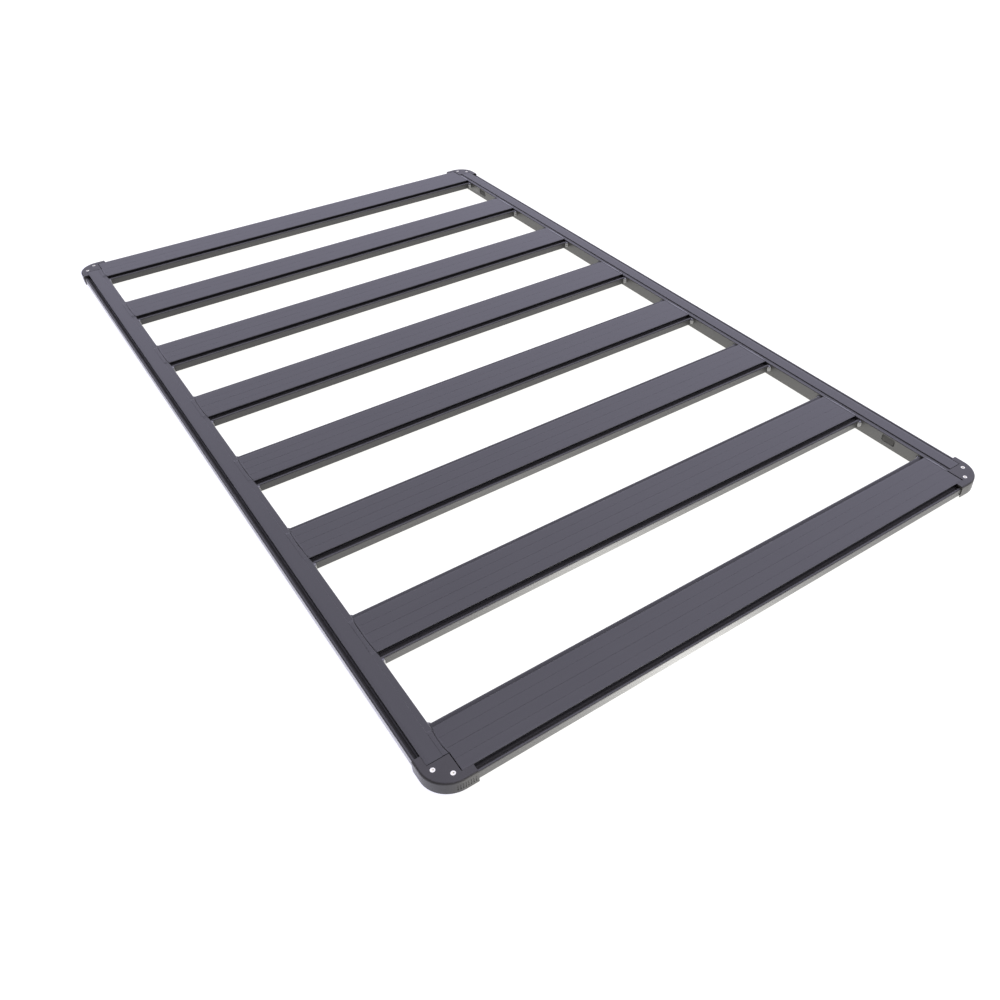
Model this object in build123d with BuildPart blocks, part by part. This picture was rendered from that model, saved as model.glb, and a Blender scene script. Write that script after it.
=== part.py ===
"""Flat platform roof rack: two side rails, eight cross slats, four corner caps.

Millimetres. X runs along the slats, Y along the side rails, Z up.
The origin is the centre of the platform on the plane of its underside.
"""

import os

from build123d import *

os.makedirs("parts", exist_ok=True)

# ---------------------------------------------------------------- dimensions
SLAT_COUNT = 8
PITCH = 285.5              # slat to slat
SLAT_TOP = 95.5            # flat top of a slat, edge to edge
TOP_WIDTH = 1254.0         # outer top edge to outer top edge, across the rails
TOP_LENGTH = (SLAT_COUNT - 1) * PITCH + SLAT_TOP
HEIGHT = 32.0              # rails
SLAT_H = 22.0              # slats hang this far below the common top
CAP_H = 26.0               # and the caps this far
HALF_W = TOP_WIDTH / 2
HALF_L = TOP_LENGTH / 2

# accessory channel along rails and slats, measured from the top outer edge
EDGE_T = 1.6               # straight edge of the top plate
FLANK_IN = 4.6             # the flank leans in under the top plate by this
FLOOR_DROP = 10.0          # channel floor below the top
LIP_DROP = 6.0             # top of the lip below the top
LIP_OUT = 13.3             # outer face of the lip beyond the top edge
LIP_IN = 9.8               # inner edge of the lip's top beyond the top edge
LIP_FOOT = 3.0             # where the lip's inner slope meets the channel floor
LIP_NOSE_R = 2.6           # rounding of the lip's outer edge
WALL = 2.4
TOP_T = 2.6

# rail, measured inwards from its top outer edge
RAIL_PLATE = 28.8          # top plate
RAIL_BODY = 40.0           # inner wall, where the slats end
LEDGE_DROP = 1.9           # weld ledge below the top plate
RAIL_END = 39.0            # rail starts this far in from the end beam's top edge

# shallow recesses in the rail's inner wall
RECESS_L = 35.0
RECESS_H = 16.0
RECESS_R = 4.0
RECESS_D = 1.4
RECESS_DROP = 13.0         # centre below the top

# fine grooves in a slat's top
GROOVE_W = 0.7
GROOVE_D = 0.5
GROOVES = (-23.9, 0.0, 23.9)

# corner cap
CAP_OUT = 15.5             # outer wall beyond the top edges
CAP_RADIUS = 52.5
CAP_ARM = 59.0             # arms end this far in from the top edges
CAP_GAP_SIDE = 0.25        # arm to top plate edge
CAP_GAP_RAIL = 1.2         # cap to rail end
CAP_GAP_BEAM = 1.6         # cap to beam end
CAP_WALL = 3.2
CAP_TOP_T = 5.0
CAP_EDGE_R = 4.0
SCREW_NEAR = 4.0           # screw centres from the top edges
SCREW_FAR = 26.6
RIB_COUNT = 8              # plain grip grooves in the wall of one arm
RIB_PITCH = 4.4
RIB_START = 23.0           # first groove from the top edge
RIB_W = 1.6
RIB_D = 0.7
RIB_Z = 5.5                # above the cap's underside
RIB_H = 12.0

# countersunk socket screw
HEAD_R = 4.2
SHANK_R = 2.0
SCREW_L = 14.0
HEAD_SINK = 0.3            # head below the cap's top
SEAT_R = 4.5
HOLE_R = 2.2
SOCKET_AF = 3.6
SOCKET_D = 2.0

# weld beads
BEAD_TOP_W = 5.0
BEAD_TOP_H = 1.7
BEAD_TOP_L = 80.0
BEAD_SIDE = 3.5

SLAT_LENGTH = TOP_WIDTH - 2 * RAIL_BODY
X_END = SLAT_LENGTH / 2
RAIL_LENGTH = TOP_LENGTH - 2 * RAIL_END
FLOOR_Z = HEIGHT - FLOOR_DROP
LIP_Z = HEIGHT - LIP_DROP
LEDGE_Z = HEIGHT - LEDGE_DROP
SLAT_Z = HEIGHT - SLAT_H
CAP_Z = HEIGHT - CAP_H
SLAT_Y = [-HALF_L + SLAT_TOP / 2 + i * PITCH for i in range(SLAT_COUNT)]
SLAT_NAMES = (
    ["front_end_beam"]
    + [f"cross_slat_{i}" for i in range(2, SLAT_COUNT)]
    + ["rear_end_beam"]
)

# ------------------------------------------------------------- slat profile
E = SLAT_TOP / 2
half = [
    (E, HEIGHT),
    (E, HEIGHT - EDGE_T),
    (E - FLANK_IN, FLOOR_Z),
    (E + LIP_FOOT, FLOOR_Z),
    (E + LIP_IN, LIP_Z),
    (E + LIP_OUT, LIP_Z),
    (E + LIP_OUT, SLAT_Z),
]
top_line = []
for g in GROOVES:
    top_line += [
        (g - GROOVE_W / 2, HEIGHT),
        (g - GROOVE_W / 2, HEIGHT - GROOVE_D),
        (g + GROOVE_W / 2, HEIGHT - GROOVE_D),
        (g + GROOVE_W / 2, HEIGHT),
    ]
slat_outline = top_line + half + [(-u, z) for u, z in reversed(half)]

slat_hollow = [
    (E - 3.1, HEIGHT - TOP_T),
    (E - 7.1, FLOOR_Z),
    (E - 7.1, FLOOR_Z - WALL),
    (E + LIP_OUT - WALL, FLOOR_Z - WALL),
    (E + LIP_OUT - WALL, SLAT_Z + 2.2),
]
slat_hollow = slat_hollow + [(-u, z) for u, z in reversed(slat_hollow)]

# --------------------------------------------------------------- cross slats
for name, y in zip(SLAT_NAMES, SLAT_Y):
    with BuildPart() as slat:
        with BuildSketch(Plane.YZ) as section:
            with BuildLine():
                Polyline([(y + u, z) for u, z in slat_outline], close=True)
            make_face()
            top_corners = section.vertices().filter_by(
                lambda v: abs(v.Y - HEIGHT) < 1e-6 and abs(abs(v.X - y) - E) < 1e-6
            )
            fillet(top_corners, radius=0.8)
            foot_corners = section.vertices().filter_by(
                lambda v: abs(v.Y - SLAT_Z) < 1e-6
            )
            fillet(foot_corners, radius=0.6)
            noses = section.vertices().filter_by(
                lambda v: abs(v.Y - LIP_Z) < 1e-6 and abs(abs(v.X - y) - E - LIP_OUT) < 1e-6
            )
            fillet(noses, radius=LIP_NOSE_R)
            with BuildLine():
                Polyline([(y + u, z) for u, z in slat_hollow], close=True)
            make_face(mode=Mode.SUBTRACT)
        extrude(amount=SLAT_LENGTH / 2, both=True)
    slat.part.label = name
    export_step(slat.part, f"parts/{name}.step")

# ---------------------------------------------------------------- side rails
rail_outline = [
    (0.0, HEIGHT),
    (RAIL_PLATE, HEIGHT),
    (RAIL_PLATE, LEDGE_Z),
    (RAIL_BODY, LEDGE_Z),
    (RAIL_BODY, 0.0),
    (0.0, 0.0),
    (0.0, SLAT_Z),
    (-LIP_OUT, SLAT_Z),
    (-LIP_OUT, LIP_Z),
    (-LIP_IN, LIP_Z),
    (-LIP_FOOT, FLOOR_Z),
    (FLANK_IN, FLOOR_Z),
    (0.0, HEIGHT - EDGE_T),
]
rail_hollow = [
    (3.1, HEIGHT - TOP_T),
    (RAIL_PLATE - WALL, HEIGHT - TOP_T),
    (RAIL_PLATE - WALL, LEDGE_Z - WALL),
    (RAIL_BODY - WALL, LEDGE_Z - WALL),
    (RAIL_BODY - WALL, WALL),
    (WALL, WALL),
    (WALL, SLAT_Z + WALL),
    (-LIP_OUT + WALL, SLAT_Z + WALL),
    (-LIP_OUT + WALL, FLOOR_Z - WALL),
    (7.1, FLOOR_Z - WALL),
    (7.1, FLOOR_Z),
]
RECESS_Y = (SLAT_Y[0] + SLAT_Y[1]) / 2

for name, side in (("left_side_rail", -1), ("right_side_rail", 1)):
    with BuildPart() as rail:
        with BuildSketch(Plane.XZ) as section:
            with BuildLine():
                Polyline([(side * (HALF_W - v), z) for v, z in rail_outline], close=True)
            make_face()
            top_corners = section.vertices().filter_by(
                lambda v: abs(v.Y - HEIGHT) < 1e-6
            )
            fillet(top_corners, radius=0.8)
            foot_corners = section.vertices().filter_by(lambda v: abs(v.Y) < 1e-6)
            fillet(foot_corners, radius=0.8)
            nose = section.vertices().filter_by(
                lambda v: abs(v.Y - LIP_Z) < 1e-6 and abs(abs(v.X) - HALF_W - LIP_OUT) < 1e-6
            )
            fillet(nose, radius=LIP_NOSE_R)
            with BuildLine():
                Polyline([(side * (HALF_W - v), z) for v, z in rail_hollow], close=True)
            make_face(mode=Mode.SUBTRACT)
        extrude(amount=RAIL_LENGTH / 2, both=True)
        with BuildSketch(Plane.YZ.offset(side * X_END)):
            with Locations(
                (-RECESS_Y, HEIGHT - RECESS_DROP), (RECESS_Y, HEIGHT - RECESS_DROP)
            ):
                RectangleRounded(RECESS_L, RECESS_H, RECESS_R)
        extrude(amount=side * RECESS_D, mode=Mode.SUBTRACT)
    rail.part.label = name
    export_step(rail.part, f"parts/{name}.step")

# --------------------------------------------------------------- corner caps
CORNERS = (
    ("front_left", -1, -1),
    ("front_right", 1, -1),
    ("rear_left", -1, 1),
    ("rear_right", 1, 1),
)
SQ_X = RAIL_BODY - CAP_GAP_BEAM      # inner edges of the cap's square
SQ_Y = RAIL_END - CAP_GAP_RAIL
CORNER_C = CAP_RADIUS - CAP_OUT      # centre of the rounded corner
TONGUE_OUT = LIP_FOOT - 0.1
SKIRT_IN = LIP_OUT + 0.1

for corner, sx, sy in CORNERS:
    def at(a, b):
        return (sx * (HALF_W - a), sy * (HALF_L - b))

    with BuildPart() as cap:
        # outline of the cap with both arms, from the underside to the top
        with BuildSketch(Plane.XY.offset(CAP_Z)):
            with BuildLine():
                Polyline(
                    at(CORNER_C, -CAP_OUT), at(CAP_ARM, -CAP_OUT),
                    at(CAP_ARM, -CAP_GAP_SIDE), at(SQ_X, -CAP_GAP_SIDE),
                    at(SQ_X, SQ_Y), at(-CAP_GAP_SIDE, SQ_Y),
                    at(-CAP_GAP_SIDE, CAP_ARM), at(-CAP_OUT, CAP_ARM),
                    at(-CAP_OUT, CORNER_C),
                )
                k = CAP_RADIUS * 0.5 ** 0.5
                ThreePointArc(
                    at(-CAP_OUT, CORNER_C),
                    at(CORNER_C - k, CORNER_C - k),
                    at(CORNER_C, -CAP_OUT),
                )
            make_face()
        extrude(amount=CAP_H)
        # rounded upper outer edge
        rim = cap.edges().filter_by(
            lambda e: abs(e.center().Z - HEIGHT) < 1e-6
            and (
                HALF_W - sx * e.center().X < -CAP_OUT + 0.01
                or HALF_L - sy * e.center().Y < -CAP_OUT + 0.01
                or e.geom_type == GeomType.CIRCLE
            )
        )
        fillet(rim, radius=CAP_EDGE_R)
        # under the arms: room for the lips beside the tongues
        with BuildSketch(Plane.XY.offset(CAP_Z)):
            with BuildLine():
                Polyline(
                    at(SQ_X, -SKIRT_IN), at(CAP_ARM + 1, -SKIRT_IN),
                    at(CAP_ARM + 1, -TONGUE_OUT), at(SQ_X, -TONGUE_OUT),
                    close=True,
                )
            make_face()
            with BuildLine():
                Polyline(
                    at(-SKIRT_IN, SQ_Y), at(-SKIRT_IN, CAP_ARM + 1),
                    at(-TONGUE_OUT, CAP_ARM + 1), at(-TONGUE_OUT, SQ_Y),
                    close=True,
                )
            make_face()
        extrude(amount=LIP_Z + 0.1 - CAP_Z, mode=Mode.SUBTRACT)
        # and room for the channel floors below the tongues
        with BuildSketch(Plane.XY.offset(CAP_Z)):
            with BuildLine():
                Polyline(
                    at(SQ_X, -TONGUE_OUT - 1), at(CAP_ARM + 1, -TONGUE_OUT - 1),
                    at(CAP_ARM + 1, 0), at(SQ_X, 0),
                    close=True,
                )
            make_face()
            with BuildLine():
                Polyline(
                    at(-TONGUE_OUT - 1, SQ_Y), at(-TONGUE_OUT - 1, CAP_ARM + 1),
                    at(0, CAP_ARM + 1), at(0, SQ_Y),
                    close=True,
                )
            make_face()
        extrude(amount=FLOOR_Z - CAP_Z, mode=Mode.SUBTRACT)
        # hollow underneath
        inset = -CAP_OUT + CAP_WALL
        r = CAP_RADIUS - CAP_WALL
        kk = r * 0.5 ** 0.5
        with BuildSketch(Plane.XY.offset(CAP_Z)):
            with BuildLine():
                Polyline(
                    at(CORNER_C, inset), at(SQ_X - CAP_WALL, inset),
                    at(SQ_X - CAP_WALL, SQ_Y - CAP_WALL),
                    at(inset, SQ_Y - CAP_WALL), at(inset, CORNER_C),
                )
                ThreePointArc(
                    at(inset, CORNER_C),
                    at(CORNER_C - kk, CORNER_C - kk),
                    at(CORNER_C, inset),
                )
            make_face()
            with Locations(at(SCREW_NEAR, SCREW_FAR), at(SCREW_FAR, SCREW_NEAR)):
                Circle(6.0, mode=Mode.SUBTRACT)
        extrude(amount=CAP_H - CAP_TOP_T, mode=Mode.SUBTRACT)
        # countersunk screw holes
        with Locations(
            (*at(SCREW_NEAR, SCREW_FAR), HEIGHT), (*at(SCREW_FAR, SCREW_NEAR), HEIGHT)
        ):
            CounterSinkHole(
                radius=HOLE_R, counter_sink_radius=SEAT_R,
                depth=CAP_H, counter_sink_angle=90,
            )
        # plain upright grooves in one arm's outer wall
        with BuildSketch(Plane.XY.offset(CAP_Z + RIB_Z)):
            for i in range(RIB_COUNT):
                a = RIB_START + i * RIB_PITCH
                lean = max(CORNER_C - a, 0.0)
                b = CORNER_C - (CAP_RADIUS ** 2 - lean ** 2) ** 0.5
                if sx == sy:
                    spot, size = at(a, b - 1.0), (RIB_W, 2 * (RIB_D + 1.0))
                else:
                    spot, size = at(b - 1.0, a), (2 * (RIB_D + 1.0), RIB_W)
                with Locations(spot):
                    Rectangle(*size)
        extrude(amount=RIB_H, mode=Mode.SUBTRACT)
    cap.part.label = f"{corner}_corner_cap"
    export_step(cap.part, f"parts/{corner}_corner_cap.step")

    with BuildPart() as screws:
        top = HEIGHT - HEAD_SINK
        with Locations((*at(SCREW_NEAR, SCREW_FAR), top), (*at(SCREW_FAR, SCREW_NEAR), top)):
            Cone(
                bottom_radius=SHANK_R, top_radius=HEAD_R, height=HEAD_R - SHANK_R,
                align=(Align.CENTER, Align.CENTER, Align.MAX),
            )
            Cylinder(
                radius=SHANK_R, height=SCREW_L,
                align=(Align.CENTER, Align.CENTER, Align.MAX),
            )
        with BuildSketch(Plane.XY.offset(top)):
            with Locations(at(SCREW_NEAR, SCREW_FAR), at(SCREW_FAR, SCREW_NEAR)):
                RegularPolygon(radius=SOCKET_AF / 2, side_count=6, major_radius=False)
        extrude(amount=-SOCKET_D, mode=Mode.SUBTRACT)
    screws.part.label = f"{corner}_cap_screws"
    export_step(screws.part, f"parts/{corner}_cap_screws.step")

# ---------------------------------------------------------------- weld beads
for i, (name, y) in enumerate(zip(SLAT_NAMES, SLAT_Y)):
    for side_name, side in (("left", -1), ("right", 1)):
        y0, y1 = y - BEAD_TOP_L / 2, y + BEAD_TOP_L / 2
        if i == 0:
            y0 = y + 0.5
        if i == SLAT_COUNT - 1:
            y1 = y - 0.5
        with BuildPart() as bead:
            # bead along the slat's top end, on the rail's ledge
            with BuildSketch(Plane.XZ.offset(-y0)):
                with BuildLine():
                    Polyline(
                        (side * X_END, LEDGE_Z),
                        (side * (X_END + BEAD_TOP_W), LEDGE_Z),
                        (side * (X_END + BEAD_TOP_W - 1.5), LEDGE_Z + 0.6 * BEAD_TOP_H),
                        (side * X_END, LEDGE_Z + BEAD_TOP_H),
                        close=True,
                    )
                make_face()
            extrude(amount=-(y1 - y0))
            # upright beads between the slat's sides and the rail's inner wall
            for face in (-1, 1):
                if (i == 0 and face < 0) or (i == SLAT_COUNT - 1 and face > 0):
                    continue
                yf = y + face * (E + LIP_OUT)
                with BuildSketch(Plane.XY.offset(SLAT_Z)):
                    with BuildLine():
                        Polyline(
                            (side * X_END, yf),
                            (side * (X_END - BEAD_SIDE), yf),
                            (side * X_END, yf + face * BEAD_SIDE),
                            close=True,
                        )
                    make_face()
                extrude(amount=LIP_Z - LIP_NOSE_R - SLAT_Z)
        bead.part.label = f"{name}_{side_name}_welds"
        export_step(bead.part, f"parts/{name}_{side_name}_welds.step")
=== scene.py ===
import math

import bmesh
import bpy
import numpy as np
from mathutils import Matrix, Vector
from mathutils.geometry import tessellate_polygon


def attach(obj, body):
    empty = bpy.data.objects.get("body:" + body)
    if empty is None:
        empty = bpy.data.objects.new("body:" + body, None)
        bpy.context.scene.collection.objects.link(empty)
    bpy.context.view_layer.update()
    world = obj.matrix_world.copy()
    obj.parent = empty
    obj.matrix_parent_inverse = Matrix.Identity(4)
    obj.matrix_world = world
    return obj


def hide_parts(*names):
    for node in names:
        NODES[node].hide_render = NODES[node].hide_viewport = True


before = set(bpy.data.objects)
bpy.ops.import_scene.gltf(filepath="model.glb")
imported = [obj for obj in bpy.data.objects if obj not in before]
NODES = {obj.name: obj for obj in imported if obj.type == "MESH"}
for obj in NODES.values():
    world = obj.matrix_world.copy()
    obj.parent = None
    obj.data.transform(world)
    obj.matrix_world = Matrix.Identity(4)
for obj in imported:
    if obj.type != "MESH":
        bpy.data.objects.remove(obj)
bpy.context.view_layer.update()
MM = 0.001

# ------------------------------------------------------------- dimensions, mm
PITCH = 285.5
SLAT_TOP = 95.5
HEIGHT = 32.0
HALF_W = 627.0
HALF_L = 1047.0
FLOOR_Z = 22.0
LIP_Z = 27.1
LEDGE_Z = 30.1
SLAT_Z = 10.0
X_END = 587.0
RAIL_Y = 1008.0
LIP_OUT = 13.3
LIP_IN = 9.0
LIP_FOOT = 2.2
PLATE = 28.8
WALL = 2.4
RECESS_Y = 856.5
RECESS_Z = 19.0
RECESS = (35.0, 16.0, 4.0, 2.2)      # length, height, corner radius, depth
E = SLAT_TOP / 2
SLATS = ["front_end_beam"] + [f"cross_slat_{i}" for i in range(2, 8)] + ["rear_end_beam"]
SLAT_Y = [-HALF_L + SLAT_TOP / 2 + i * PITCH for i in range(8)]
RAILS = ["left_side_rail", "right_side_rail"]
CORNERS = ["front_left", "front_right", "rear_left", "rear_right"]


# ------------------------------------------------------------------ materials
class Graph:
    """Small helper to write a material's nodes."""

    def __init__(self, name):
        self.mat = bpy.data.materials.new(name)
        self.mat.use_nodes = True
        self.t = self.mat.node_tree
        self.t.nodes.clear()
        self.out = self.add("ShaderNodeOutputMaterial")
        self.bsdf = self.add("ShaderNodeBsdfPrincipled")
        self.link(self.bsdf.outputs[0], self.out.inputs[0])

    def add(self, kind, **props):
        n = self.t.nodes.new(kind)
        for k, v in props.items():
            setattr(n, k, v)
        return n

    def link(self, a, b):
        self.t.links.new(a, b)

    def coords(self, scale=(1, 1, 1), rotation=(0, 0, 0)):
        tc = self.add("ShaderNodeTexCoord")
        mp = self.add("ShaderNodeMapping")
        mp.inputs["Scale"].default_value = scale
        mp.inputs["Rotation"].default_value = rotation
        self.link(tc.outputs["Object"], mp.inputs["Vector"])
        return mp.outputs[0]

    def noise(self, vector, scale, detail=2.0, rough=0.5, distortion=0.0):
        n = self.add("ShaderNodeTexNoise")
        n.inputs["Scale"].default_value = scale
        n.inputs["Detail"].default_value = detail
        n.inputs["Roughness"].default_value = rough
        n.inputs["Distortion"].default_value = distortion
        self.link(vector, n.inputs["Vector"])
        return n.outputs["Fac"]

    def voronoi(self, vector, scale, feature="F1", rand=1.0):
        n = self.add("ShaderNodeTexVoronoi", feature=feature)
        n.inputs["Scale"].default_value = scale
        n.inputs["Randomness"].default_value = rand
        self.link(vector, n.inputs["Vector"])
        return n.outputs["Distance"]

    def math(self, op, a, b=None, clamp=False):
        n = self.add("ShaderNodeMath", operation=op, use_clamp=clamp)
        for i, v in enumerate((a, b)):
            if v is None:
                continue
            if isinstance(v, (int, float)):
                n.inputs[i].default_value = v
            else:
                self.link(v, n.inputs[i])
        return n.outputs[0]

    def remap(self, v, a, b, c, d):
        n = self.add("ShaderNodeMapRange")
        n.inputs["From Min"].default_value = a
        n.inputs["From Max"].default_value = b
        n.inputs["To Min"].default_value = c
        n.inputs["To Max"].default_value = d
        self.link(v, n.inputs["Value"])
        return n.outputs["Result"]

    def smooth(self, v, a, b):
        """0 at a, 1 at b, eased."""
        n = self.add("ShaderNodeMapRange", interpolation_type="SMOOTHSTEP")
        n.inputs["From Min"].default_value = min(a, b)
        n.inputs["From Max"].default_value = max(a, b)
        n.inputs["To Min"].default_value = 0.0 if a < b else 1.0
        n.inputs["To Max"].default_value = 1.0 if a < b else 0.0
        self.link(v, n.inputs["Value"])
        return n.outputs["Result"]

    def mix(self, fac, a, b):
        n = self.add("ShaderNodeMix", data_type="RGBA")
        if isinstance(fac, (int, float)):
            n.inputs["Factor"].default_value = fac
        else:
            self.link(fac, n.inputs["Factor"])
        for key, v in (("A", a), ("B", b)):
            s = [i for i in n.inputs if i.name == key and i.type == "RGBA"][0]
            if isinstance(v, tuple):
                s.default_value = (*v, 1.0)
            else:
                self.link(v, s)
        return [o for o in n.outputs if o.type == "RGBA"][0]

    def bump(self, height, strength, distance, normal=None):
        n = self.add("ShaderNodeBump")
        n.inputs["Strength"].default_value = strength
        n.inputs["Distance"].default_value = distance
        self.link(height, n.inputs["Height"])
        if normal is not None:
            self.link(normal, n.inputs["Normal"])
        return n.outputs[0]

    def to(self, socket, value):
        s = self.bsdf.inputs[socket]
        if isinstance(value, (int, float)):
            s.default_value = value
        elif isinstance(value, tuple):
            s.default_value = (*value, 1.0)
        else:
            self.link(value, s)


def powder_coat(name, along, rough=0.40, ior=1.52):
    """Satin black powder coat over an extrusion drawn along one axis."""
    g = Graph(name)
    plain = g.coords()
    k = {"x": (1.5, 90, 90), "y": (90, 1.5, 90), "none": (60, 60, 60)}[along]
    drawn = g.coords(scale=k)
    cloud = g.noise(plain, 5.0, 3.0)
    streak = g.noise(drawn, 1.0, 2.0)
    grain = g.noise(plain, 1900.0, 1.5, 0.6)
    peel = g.noise(plain, 420.0, 1.0)
    tone = g.math("ADD", g.math("MULTIPLY", cloud, 0.6), g.math("MULTIPLY", streak, 0.4))
    g.to("Base Color", g.mix(g.remap(tone, 0.35, 0.65, 0, 1), (0.0320, 0.0305, 0.0275), (0.0375, 0.0358, 0.0322)))
    g.to("Roughness", g.math("ADD", g.remap(tone, 0.3, 0.7, rough, rough + 0.04), g.math("MULTIPLY", grain, 0.04)))
    g.to("IOR", ior)
    n = g.bump(peel, 0.10, 0.00030)
    n = g.bump(grain, 0.16, 0.00012, n)
    g.to("Normal", n)
    return g.mat


def cap_plastic(name):
    """Black moulded plastic with a fine spark-eroded texture."""
    g = Graph(name)
    plain = g.coords()
    cloud = g.noise(plain, 30.0, 2.0)
    cell = g.voronoi(plain, 1300.0)
    grain = g.noise(plain, 2600.0, 1.0)
    colour = g.mix(g.remap(cloud, 0.35, 0.65, 0, 1), (0.0285, 0.0262, 0.0215), (0.0325, 0.0300, 0.0250))
    g.to("Base Color", colour)
    g.to("Roughness", g.remap(grain, 0.3, 0.7, 0.45, 0.52))
    g.to("IOR", 1.50)
    n = g.bump(cell, 0.18, 0.00012)
    n = g.bump(grain, 0.12, 0.00008, n)
    g.to("Normal", n)
    return g.mat


def screw_steel(name):
    """Bright plated steel with a faint haze and a fine bump."""
    g = Graph(name)
    plain = g.coords()
    haze = g.noise(plain, 700.0, 2.0)
    fine = g.noise(plain, 6000.0, 1.0)
    g.to("Base Color", g.mix(g.remap(haze, 0.35, 0.65, 0, 1), (0.80, 0.79, 0.66), (0.90, 0.89, 0.76)))
    g.to("Metallic", 1.0)
    g.to("Roughness", g.remap(haze, 0.3, 0.7, 0.20, 0.30))
    g.to("Normal", g.bump(fine, 0.05, 0.00005))
    return g.mat


COAT_X = powder_coat("powder_coat_slats", "x")
COAT_Y = powder_coat("powder_coat_rails", "y")
COAT_WELD = powder_coat("powder_coat_welds", "none")
COAT_BEAD = powder_coat("powder_coat_end_welds", "none", 0.26, 1.75)
# duller, less reflective copy of the rail coat for the recess bed: painted shade that darkens the bed
COAT_BED_SHADE = powder_coat("powder_coat_recess_shade", "none", 0.60, 1.40)
COAT_FLOW = powder_coat("powder_coat_upright_welds", "none", 0.18, 2.1)    # thick glossy run of coat
CAP = cap_plastic("cap_plastic")
STEEL = screw_steel("screw_steel")


def dress(node, material):
    o = NODES[node]
    o.data.materials.clear()
    o.data.materials.append(material)


for c in CORNERS:
    dress(f"{c}_corner_cap", CAP)
    dress(f"{c}_cap_screws", STEEL)


# ----------------------------------------------------------- drawn extrusions
def rounded(points, radii, step=14.0):
    """Closed outline with rounded corners, as (point, outward normal) pairs."""
    pts = [np.array(p, float) for p in points]
    rad = list(radii)
    turn_sum = sum(pts[i - 1][0] * pts[i][1] - pts[i][0] * pts[i - 1][1] for i in range(len(pts)))
    if turn_sum < 0:
        pts, rad = pts[::-1], rad[::-1]
    out = []
    for i, (p, r) in enumerate(zip(pts, rad)):
        d1 = p - pts[i - 1]
        d2 = pts[(i + 1) % len(pts)] - p
        d1, d2 = d1 / np.linalg.norm(d1), d2 / np.linalg.norm(d2)
        turn = math.atan2(d1[0] * d2[1] - d1[1] * d2[0], float(d1 @ d2))
        side = 1.0 if turn > 0 else -1.0
        start = p - d1 * r * math.tan(abs(turn) / 2)
        centre = start + np.array((-d1[1], d1[0])) * r * side
        k = max(2, math.ceil(abs(math.degrees(turn)) / step))
        for j in range(k + 1):
            t = turn * j / k
            d = np.array((d1[0] * math.cos(t) - d1[1] * math.sin(t), d1[0] * math.sin(t) + d1[1] * math.cos(t)))
            out.append((centre - np.array((-d[1], d[0])) * r * side, np.array((d[1], -d[0]))))
    return out


class Shell:
    """Faces with exact normals, gathered in millimetres."""

    def __init__(self):
        self.v, self.n, self.f = [], [], []

    def add(self, verts, normals, faces):
        base = len(self.v)
        v, n = np.array(verts, float), np.array(normals, float)
        for f in faces:
            a, b, c = v[f[0]], v[f[1]], v[f[2]]
            if np.cross(b - a, c - a) @ (n[f[0]] + n[f[1]] + n[f[2]]) < 0:
                f = f[::-1]
            self.f.append([base + i for i in f])
        self.v += [tuple(x) for x in v * MM]
        self.n += [tuple(x) for x in n]

    def mesh(self, name):
        me = bpy.data.meshes.new(name)
        me.from_pydata(self.v, [], self.f)
        me.polygons.foreach_set("use_smooth", [True] * len(me.polygons))
        me.normals_split_custom_set_from_vertices(self.n)
        me.update()
        return me


def place(axis, u, z, s):
    return (s, u, z) if axis == "x" else (u, s, z)


def run(shell, line, axis, stations, flip=1.0, skip=None):
    """One outline drawn along straight stations."""
    m, count = len(line), len(stations)
    verts = [place(axis, *p, s) for s in stations for p, _ in line]
    norms = [place(axis, *(n * flip), 0.0) for s in stations for _, n in line]
    faces = []
    for i in range(m):
        j = (i + 1) % m
        if skip and skip(line[i][0], line[j][0]):
            continue
        faces += [[c * m + i, c * m + j, (c + 1) * m + j, (c + 1) * m + i] for c in range(count - 1)]
    shell.add(verts, norms, faces)


def loft(shell, first, last, axis, stations):
    """Like run, from one outline to another of as many points."""
    m, count = len(first), len(stations)
    verts, norms = [], []
    for c, s in enumerate(stations):
        t = c / (count - 1)
        for (p, n), (q, _) in zip(first, last):
            verts.append(place(axis, *(p + (q - p) * t), s))
            norms.append(place(axis, *n, 0.0))
    faces = [[c * m + i, c * m + (i + 1) % m, (c + 1) * m + (i + 1) % m, (c + 1) * m + i] for c in range(count - 1) for i in range(m)]
    shell.add(verts, norms, faces)


def close(shell, outlines, axis, s, d):
    """Flat end face between an outline and its hollow."""
    flat = [p for line in outlines for p, _ in line]
    tris = tessellate_polygon([[Vector((*p, 0.0)) for p, _ in line] for line in outlines])
    shell.add([place(axis, *p, s) for p in flat], [place(axis, 0.0, 0.0, d)] * len(flat), [list(t) for t in tris])


def piece(name, me, material, node):
    me.materials.append(material)
    o = bpy.data.objects.new(name, me)
    bpy.context.scene.collection.objects.link(o)
    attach(o, "root")
    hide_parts(node)
    return o


# lower wall, lip and channel of a slat's side, from the foot up to the top edge
SIDE = [((E + LIP_OUT, SLAT_Z), 0.5), ((E + LIP_OUT, LIP_Z), 3.0), ((E + LIP_IN + 0.5, LIP_Z), 0.6), ((E + LIP_FOOT + 0.4, FLOOR_Z), 1.2),
        ((E - 5.2, FLOOR_Z), 0.8), ((E, HEIGHT - 1.6), 0.4), ((E, HEIGHT - 0.35), 0.5), ((E - 4.0, HEIGHT), 6.0)]
GROOVES = ((23.9, 0.10, 0.3), (0.0, 0.17, 0.4), (-23.9, 0.10, 0.3))     # place, half width, depth


def slat_line(y, k):
    """Outline of a slat; the coat fills the fine grooves of its top more or less."""
    top = []
    for gx, gw, gd in GROOVES:
        gw *= k
        top += [((gx + gw, HEIGHT), 0.06), ((gx + gw, HEIGHT - gd), 0.04), ((gx - gw, HEIGHT - gd), 0.04), ((gx - gw, HEIGHT), 0.06)]
    line = SIDE + top + [((-u, z), r) for (u, z), r in reversed(SIDE)]
    return rounded([(y + u, z) for (u, z), _ in line], [r for _, r in line])


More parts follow.
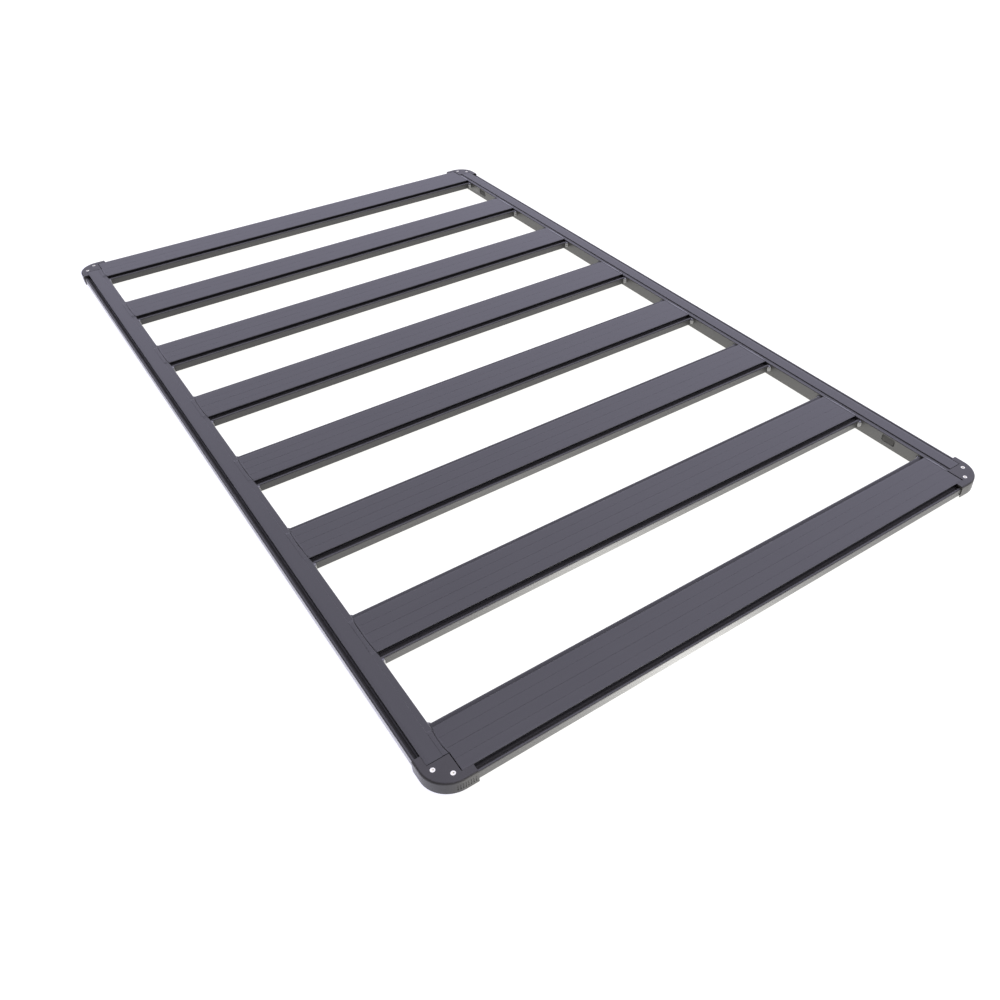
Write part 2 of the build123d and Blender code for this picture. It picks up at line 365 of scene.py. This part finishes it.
SLAT_HOLE = [(E - 3.1, HEIGHT - 2.6), (E - 7.1, FLOOR_Z), (E - 7.1, FLOOR_Z - WALL), (E + LIP_OUT - WALL, FLOOR_Z - WALL), (E + LIP_OUT - WALL, SLAT_Z + 2.2)]
SLAT_HOLE = SLAT_HOLE + [(-u, z) for u, z in reversed(SLAT_HOLE)]
BEVEL = ((2.8, 0.0), (1.8, 0.8))     # weld bevel at a slat's right end: from the end, below the top

for name, y in zip(SLATS, SLAT_Y):
    sh = Shell()
    first, line = slat_line(y, 1.0), slat_line(y, 0.45)
    hole = rounded([(y + u, z) for u, z in SLAT_HOLE], [0.8] * len(SLAT_HOLE))
    (d0, _), (d1, drop) = BEVEL
    low = [(np.array((q[0], min(q[1], HEIGHT - drop))), n) for q, n in line]
    loft(sh, first, line, "x", np.linspace(-X_END, X_END - d0, 9))
    lean = np.array((drop, 0.0, d0 - d1)) / math.hypot(drop, d0 - d1)
    m = len(line)
    verts = [place("x", *q, X_END - d0) for q, _ in line] + [place("x", *q, X_END - d1) for q, _ in low]
    norms = [tuple(lean) if n[1] > 0.7 and q[1] > HEIGHT - drop else place("x", *n, 0.0) for q, n in line] * 2
    sh.add(verts, norms, [[i, (i + 1) % m, m + (i + 1) % m, m + i] for i in range(m)])
    run(sh, low, "x", np.linspace(X_END - d1, X_END, 2))
    run(sh, hole, "x", np.linspace(-X_END, X_END, 9), -1.0)
    close(sh, [first, hole], "x", -X_END, -1.0)
    close(sh, [low, hole], "x", X_END, 1.0)
    piece(name + "_visual", sh.mesh(name + "_visual"), COAT_X, name)

# rail outline, inwards from the top outer edge
RAIL_LINE = [((0.0, HEIGHT - 0.45), 0.5), ((5.5, HEIGHT), 6.0), ((PLATE, HEIGHT), 0.6), ((PLATE, LEDGE_Z), 0.35), ((40.0, LEDGE_Z), 1.6), ((40.0, 0.0), 0.8),
             ((0.0, 0.0), 0.8), ((0.0, SLAT_Z), 0.6), ((-LIP_OUT, SLAT_Z), 0.5), ((-LIP_OUT, LIP_Z), 2.4),
             ((-LIP_IN, LIP_Z), 0.7), ((-LIP_FOOT, FLOOR_Z), 1.2), ((5.2, FLOOR_Z), 0.8), ((0.0, HEIGHT - 1.6), 0.4)]
RAIL_HOLE = [(3.1, HEIGHT - 2.6), (PLATE - WALL, HEIGHT - 2.6), (PLATE - WALL, LEDGE_Z - WALL), (37.6, LEDGE_Z - WALL), (37.6, WALL), (WALL, WALL),
             (WALL, SLAT_Z + WALL), (-LIP_OUT + WALL, SLAT_Z + WALL), (-LIP_OUT + WALL, FLOOR_Z - WALL), (7.1, FLOOR_Z - WALL), (7.1, FLOOR_Z)]


def recess(shell, side, yc):
    """Shallow rounded recess in the rail's inner wall; returns the outline of its rim."""
    l, h, r, depth = RECESS
    rim, foot = 0.35, 0.5
    line = rounded([(yc - l / 2, RECESS_Z - h / 2), (yc + l / 2, RECESS_Z - h / 2), (yc + l / 2, RECESS_Z + h / 2), (yc - l / 2, RECESS_Z + h / 2)], [r] * 4, 8.0)
    m = len(line)
    rings = []
    for j in range(4):
        t = math.pi / 2 * j / 3
        rings.append((rim * (1 - math.sin(t)), rim * (1 - math.cos(t)), math.cos(t), -math.sin(t)))
    for j in range(4):
        t = math.pi / 2 * j / 3
        rings.append((-foot * (1 - math.cos(t)), depth - foot + foot * math.sin(t), math.sin(t), -math.cos(t)))
    verts, norms = [], []
    for out, deep, face, lean in rings:
        for p, n in line:
            q, w = p + n * out, n * lean
            verts.append((side * (X_END + deep), q[0], q[1]))
            norms.append((-side * face, w[0], w[1]))
    faces = [[c * m + i, c * m + (i + 1) % m, (c + 1) * m + (i + 1) % m, (c + 1) * m + i] for c in range(len(rings) - 1) for i in range(m)]
    shell.add(verts, norms, faces)
    bed = verts[-m:]
    shell.add(bed, [(-side, 0.0, 0.0)] * m, [list(t) for t in tessellate_polygon([[Vector(v) for v in bed]])])
    # raised part of the bed, close to the lower and far edges and leaning back
    yp, zp, lp, hp = yc + 1.5, RECESS_Z - 1.3, l - 3.4, h - 3.0
    pad = rounded([(yp - lp / 2, zp - hp / 2), (yp + lp / 2, zp - hp / 2), (yp + lp / 2, zp + hp / 2), (yp - lp / 2, zp + hp / 2)], [r - 0.8] * 4, 8.0)
    lean = 1.6 / hp
    deep = [0.45 + lean * (q[1] - zp + hp / 2) for q, _ in pad]
    foot_ring = [(side * (X_END + depth), q[0], q[1]) for q, _ in pad]
    top_ring = [(side * (X_END + d), q[0], q[1]) for (q, _), d in zip(pad, deep)]
    out = [(0.0, n[0], n[1]) for _, n in pad]
    shell.add(foot_ring + top_ring, out * 2, [[i, (i + 1) % m, m + (i + 1) % m, m + i] for i in range(m)])
    face = Vector((-side, 0.0, lean)).normalized()
    shell.add(top_ring, [tuple(face)] * m, [list(t) for t in tessellate_polygon([[Vector(v) for v in top_ring]])])
    return verts[:m]


for name, side in zip(RAILS, (-1, 1)):
    sh = Shell()
    line = rounded([(side * (HALF_W - v), z) for (v, z), _ in RAIL_LINE], [r for _, r in RAIL_LINE])
    hole = rounded([(side * (HALF_W - v), z) for v, z in RAIL_HOLE], [0.8] * len(RAIL_HOLE))
    on_wall = [p[1] for p, _ in line if abs(abs(p[0]) - X_END) < 1e-6]
    z0, z1 = min(on_wall), max(on_wall)
    ys = np.linspace(-RAIL_Y, RAIL_Y, 14)
    run(sh, line, "y", ys, 1.0, lambda p, q: abs(abs(p[0]) - X_END) < 1e-6 and abs(abs(q[0]) - X_END) < 1e-6)
    run(sh, hole, "y", ys, -1.0)
    for d in (-1.0, 1.0):
        close(sh, [line, hole], "y", d * RAIL_Y, d)
    frame_line = [(side * X_END, y, z0) for y in ys] + [(side * X_END, y, z1) for y in ys[::-1]]
    loops = [frame_line, recess(sh, side, -RECESS_Y), recess(sh, side, RECESS_Y)]
    flat = [v for loop in loops for v in loop]
    sh.add(flat, [(-side, 0.0, 0.0)] * len(flat), [list(t) for t in tessellate_polygon([[Vector(v) for v in loop] for loop in loops])])
    me = sh.mesh(name + "_visual")
    piece(name + "_visual", me, COAT_Y, name)
    # the recess bed faces take the duller coat: painted shade in the recess
    me.materials.append(COAT_BED_SHADE)
    for q in me.polygons:
        x, y, z = (abs(v) / MM for v in q.center)
        if X_END + 0.3 < x < X_END + 2.35 and abs(y - RECESS_Y) < 18 and abs(z - RECESS_Z) < 8.5:
            q.material_index = 1


# ---------------------------------------------------------------- weld beads
def grid_faces(rows, cols):
    return [[r * cols + c, r * cols + (c + 1) % cols, (r + 1) * cols + (c + 1) % cols, (r + 1) * cols + c] for r in range(rows - 1) for c in range(cols)]


# section of the bead along a slat's right end: outwards from the end (over the slat where negative), height
BEAD = [(-2.00, -0.95), (-1.75, -0.62), (-1.35, -0.26), (-0.80, -0.06), (0.00, -0.04), (1.20, -0.16), (2.40, -0.42), (3.60, -0.78), (4.80, -1.18), (5.80, -1.58), (6.40, -1.90)]


def flush_bead(side, y0, y1, seed, free):
    """Bead ground nearly flush across the ledge, with one bowed seam, run out at its free ends."""
    rows = 110
    rng = np.random.default_rng(seed)
    wob = rng.uniform(0, 6.28, 3)
    mid = rng.uniform(-0.1, 0.2)
    verts = []
    for i in range(rows):
        y = y0 + (y1 - y0) * i / (rows - 1)
        t = 2.0 * i / (rows - 1) - 1.0
        t = (t - mid) / (1 - mid if t > mid else 1 + mid)
        lens = math.sqrt(max(1.0 - t * t, 0.0))
        c = 0.9 + 2.9 * lens + 0.16 * math.sin(y / 7.0 + wob[0]) + 0.10 * math.sin(y / 2.9 + wob[1])
        deep = 0.85 + 0.18 * math.sin(y / 9.0 + wob[2])
        line = [(-0.30, -0.30), (0.00, -0.02), (c - 0.90, -0.03), (c - 0.52, -0.5 * deep + 0.12), (c - 0.18, -deep), (c + 0.18, -deep), (c + 0.52, -0.5 * deep + 0.12),
                (c + 0.90, -0.06), (c + 2.2, -0.03), (9.0, -0.04), (10.6, -0.07), (11.8, -0.04)]
        ends = [(y - y0) if free[0] else 99.0, (y1 - y) if free[1] else 99.0]
        e = min(1.0, max(0.0, min(ends) / 9.0))
        e = math.sin(0.5 * math.pi * e)
        for a, h in line:
            z = HEIGHT + h
            verts.append((side * (X_END + min(a, 11.05 + 0.75 * e)), y, LEDGE_Z - 0.2 + (z - LEDGE_Z + 0.2) * e))
        verts.append((side * (X_END + 11.05 + 0.75 * e), y, LEDGE_Z - 0.3))
        verts.append((side * (X_END - 0.30), y, LEDGE_Z - 0.3))
    cols = len(line) + 2
    return verts, grid_faces(rows, cols) + [list(range(cols)), list(range((rows - 1) * cols, rows * cols))]


def top_bead(side, y0, y1, seed):
    """Convex bead on the ledge along a slat's end, widest near its middle."""
    rows = 110
    line = BEAD
    cols = len(line) + 2
    rng = np.random.default_rng(seed)
    wob = rng.uniform(0, 6.28, 3)
    mid = rng.uniform(-0.1, 0.3)
    verts = []
    for i in range(rows):
        y = y0 + (y1 - y0) * i / (rows - 1)
        t = 2.0 * i / (rows - 1) - 1.0
        t = (t - mid) / (1 - mid if t > mid else 1 + mid)
        lens = math.sqrt(max(1.0 - t * t, 0.0))
        k = 0.25 + 0.75 * lens * (1 + 0.05 * math.sin(y / 7.0 + wob[0]) + 0.03 * math.sin(y / 2.9 + wob[1]))
        for a, h in line:
            on = max(0.0, 1 - (a / 6.4 - 0.4) ** 2 / 0.3) if a > 0 else 0.0
            ripple = 0.06 * math.sin(2 * math.pi * (y + 0.07 * (a - 2) ** 2) / 2.7 + wob[2]) * on * lens
            verts.append((side * (X_END + (a * k if a > 0 else a)), y, HEIGHT + h + ripple))
        verts.append((side * (X_END + 6.4 * k), y, LEDGE_Z - 0.3))
        verts.append((side * (X_END + min(line[0][0], 0.0)), y, LEDGE_Z - 0.3))
    return verts, grid_faces(rows, cols) + [list(range(cols)), list(range((rows - 1) * cols, rows * cols))]


def side_bead(side, yf, face, seed):
    """Upright convex bead between a slat's side and the rail's inner wall."""
    rows, cols = 40, 12
    rng = np.random.default_rng(seed)
    wob = rng.uniform(0, 6.28, 2)
    z0, z1, leg = SLAT_Z + 0.3, LIP_Z - 0.6, 7.0
    verts = []
    for i in range(rows):
        t = 2.0 * i / (rows - 1) - 1.0
        z = z0 + (z1 - z0) * i / (rows - 1)
        k = (1 - abs(t) ** 6 * 0.75) * (1 + 0.05 * math.sin(z / 1.9 + wob[0]))
        for j in range(cols - 1):
            s = j / (cols - 2)
            bulge = 0.7 * math.sin(math.pi * s) * (1 + 0.13 * math.sin(2 * math.pi * (z + 1.2 * (2 * s - 1) ** 2) / 2.4 + wob[1]))
            verts.append((side * (X_END - k * (leg * (1 - s) + 0.7071 * bulge)), yf + face * k * (leg * s + 0.7071 * bulge), z))
        verts.append((side * (X_END + 0.2), yf - face * 0.2, z))
    return verts, grid_faces(rows, cols) + [list(range(cols)), list(range((rows - 1) * cols, rows * cols))]


for i, (name, y) in enumerate(zip(SLATS, SLAT_Y)):
    for d, side in (("left", -1), ("right", 1)):
        y0 = y - E + (39.6 if i == 0 else 0.6)
        y1 = y + E - (39.6 if i == 7 else 0.6)
        parts = [top_bead(side, y0, y1, 10 * i + side) if side > 0 else flush_bead(side, y0, y1, 200 + 10 * i, (i > 0, i < 7))]
        for face in (-1, 1):
            if (i, face) not in ((0, -1), (7, 1)):
                parts.append(side_bead(side, y + face * (E + LIP_OUT), face, 400 + 20 * i + 2 * face + side + 5))
        bm = bmesh.new()
        for j, (verts, faces) in enumerate(parts):
            vs_ = [bm.verts.new(Vector(v) * MM) for v in verts]
            for f in faces:
                bm.faces.new([vs_[k] for k in f]).material_index = min(j, 1)
        bmesh.ops.recalc_face_normals(bm, faces=bm.faces)
        me = bpy.data.meshes.new(f"{name}_{d}_beads")
        bm.to_mesh(me)
        bm.free()
        me.polygons.foreach_set("use_smooth", [True] * len(me.polygons))
        piece(f"{name}_{d}_beads", me, COAT_BEAD if side > 0 else COAT_WELD, f"{name}_{d}_welds")
        me.materials.append(COAT_FLOW)


# --------------------------------------------------------------------- stage
def floor_material():
    """White floor, lit from within, with a pool of light before the near end."""
    g = Graph("floor_white")
    g.to("Base Color", (0.12, 0.12, 0.12))
    g.to("Roughness", 0.6)
    tc = g.add("ShaderNodeTexCoord")
    xyz = g.add("ShaderNodeSeparateXYZ")
    g.link(tc.outputs["Object"], xyz.inputs[0])
    x, y = xyz.outputs[0], xyz.outputs[1]
    far = g.smooth(y, -0.2, 0.7)
    rise = g.math("MULTIPLY", g.smooth(x, -0.64, -0.585), g.remap(far, 0.0, 1.0, 0.20, 0.0))
    base = g.math("ADD", g.math("ADD", rise, 1.35), g.remap(x, -0.585, 0.60, 0.0, 0.42))
    beside = g.math("MULTIPLY", g.smooth(x, -0.60, -0.65), g.smooth(y, -1.00, -0.92))
    corner = g.math("MULTIPLY", g.smooth(x, -0.56, -0.62), g.smooth(y, -0.95, -1.02))
    base = g.math("MULTIPLY", base, g.remap(corner, 0.0, 1.0, 1.0, 0.58))
    base = g.math("ADD", base, g.math("MULTIPLY", beside, 0.92))
    w = g.math("DIVIDE", g.math("ADD", x, 0.08), 0.17)
    glow = g.math("DIVIDE", g.math("MULTIPLY", far, 0.45), g.math("ADD", 1.0, g.math("MULTIPLY", w, w)))
    base = g.math("MULTIPLY", g.math("ADD", base, glow), g.remap(g.smooth(x, 0.60, 0.67), 0.0, 1.0, 1.0, 0.52))
    width = g.remap(y, -1.05, -0.60, 0.15, 0.26)
    u = g.math("DIVIDE", g.math("ADD", x, 0.15), width)
    peak = g.math("DIVIDE", 7.2, g.math("ADD", 1.0, g.math("MULTIPLY", u, u)))
    near = g.math("MULTIPLY", g.smooth(y, -0.30, -1.05), g.smooth(y, -1.70, -1.25))
    g.to("Emission Color", g.mix(g.smooth(x, -0.57, -0.65), (1.0, 0.995, 0.970), (0.955, 0.950, 1.10)))
    g.to("Emission Strength", g.math("ADD", base, g.math("MULTIPLY", peak, near)))
    geo = g.add("ShaderNodeNewGeometry")
    clear = g.add("ShaderNodeBsdfTransparent")
    sel = g.add("ShaderNodeMixShader")
    g.link(geo.outputs["Backfacing"], sel.inputs[0])
    g.link(g.bsdf.outputs[0], sel.inputs[1])
    g.link(clear.outputs[0], sel.inputs[2])
    g.link(sel.outputs[0], g.out.inputs[0])
    return g.mat


fm = bpy.data.meshes.new("floor")
S = 30.0
fm.from_pydata([(-S, -S, -0.0004), (S, -S, -0.0004), (S, S, -0.0004), (-S, S, -0.0004)], [], [(0, 1, 2, 3)])
floor = bpy.data.objects.new("floor", fm)
bpy.context.scene.collection.objects.link(floor)
fm.materials.append(floor_material())

world = bpy.data.worlds.new("studio")
bpy.context.scene.world = world
world.use_nodes = True
wt = world.node_tree
bg = wt.nodes["Background"]
wc = wt.nodes.new("ShaderNodeTexCoord")
wx = wt.nodes.new("ShaderNodeSeparateXYZ")


def wmath(op, a, b):
    n = wt.nodes.new("ShaderNodeMath")
    n.operation = op
    for i, v in enumerate((a, b)):
        if isinstance(v, (int, float)):
            n.inputs[i].default_value = v
        else:
            wt.links.new(v, n.inputs[i])
    return n.outputs[0]


def wsmooth(v, a, b, c, d):
    n = wt.nodes.new("ShaderNodeMapRange")
    n.interpolation_type = "SMOOTHSTEP"
    for k, x in (("From Min", a), ("From Max", b), ("To Min", c), ("To Max", d)):
        n.inputs[k].default_value = x
    wt.links.new(v, n.inputs["Value"])
    return n.outputs["Result"]


# a large soft source overhead and behind, dimmer to the left, at the near side and along the far horizon
wt.links.new(wc.outputs["Generated"], wx.inputs[0])
dx, dy, dz = wx.outputs[0], wx.outputs[1], wx.outputs[2]
left = wsmooth(dx, -0.40, 0.0, 0.0, 1.0)
front = wsmooth(wmath("ADD", dz, wmath("MULTIPLY", dy, 0.5)), 0.02, 0.38, 0.0, 1.0)
low = wsmooth(dz, 0.45, 0.80, 1.20, 1.0)
high = wsmooth(dz, 0.82, 0.96, 1.0, 2.5)
warm = wsmooth(dx, 0.30, 0.75, 1.0, 1.36)
near = wmath("ADD", 1.0, wmath("MULTIPLY", wsmooth(dx, 0.20, 0.50, 0.0, 0.17), wsmooth(dz, 0.58, 0.72, 0.0, 1.0)))
sky = wmath("MULTIPLY", wmath("MULTIPLY", left, front), wmath("MULTIPLY", wmath("MULTIPLY", low, high), wmath("MULTIPLY", warm, near)))
wt.links.new(wmath("ADD", 0.24, wmath("MULTIPLY", sky, 0.94)), bg.inputs["Strength"])
bg.inputs["Color"].default_value = (0.97, 0.95, 1.22, 1.0)

# -------------------------------------------------------------------- camera
cam_data = bpy.data.cameras.new("camera")
cam = bpy.data.objects.new("camera", cam_data)
bpy.context.scene.collection.objects.link(cam)
R = ((0.8147540, -0.5797137, -0.0103892),
     (-0.3787707, -0.5186028, -0.7665402),
     (0.4389860, 0.6284768, -0.6421123))
right, down, ahead = (Vector(r) for r in R)
m = Matrix.Identity(4)
for i in range(3):
    m[i][0], m[i][1], m[i][2] = right[i], -down[i], -ahead[i]
m.translation = Vector(((-285.269 - HALF_W) * MM, (-782.670 - HALF_L) * MM, (1217.496 + HEIGHT) * MM))
cam.matrix_world = m
cam_data.sensor_fit = "HORIZONTAL"
cam_data.sensor_width = 36.0
cam_data.lens = 946.868 / 1000.0 * 36.0
cam_data.shift_x = (500.0 - 580.0) / 1000.0
cam_data.shift_y = 0.0
cam_data.clip_start, cam_data.clip_end = 0.05, 100.0
bpy.context.scene.camera = cam

bpy.context.scene.cycles.sample_clamp_direct = 1.0    # keeps the white floor from eating thin edges

vs = bpy.context.scene.view_settings
vs.view_transform = "Standard"
vs.look = "None"
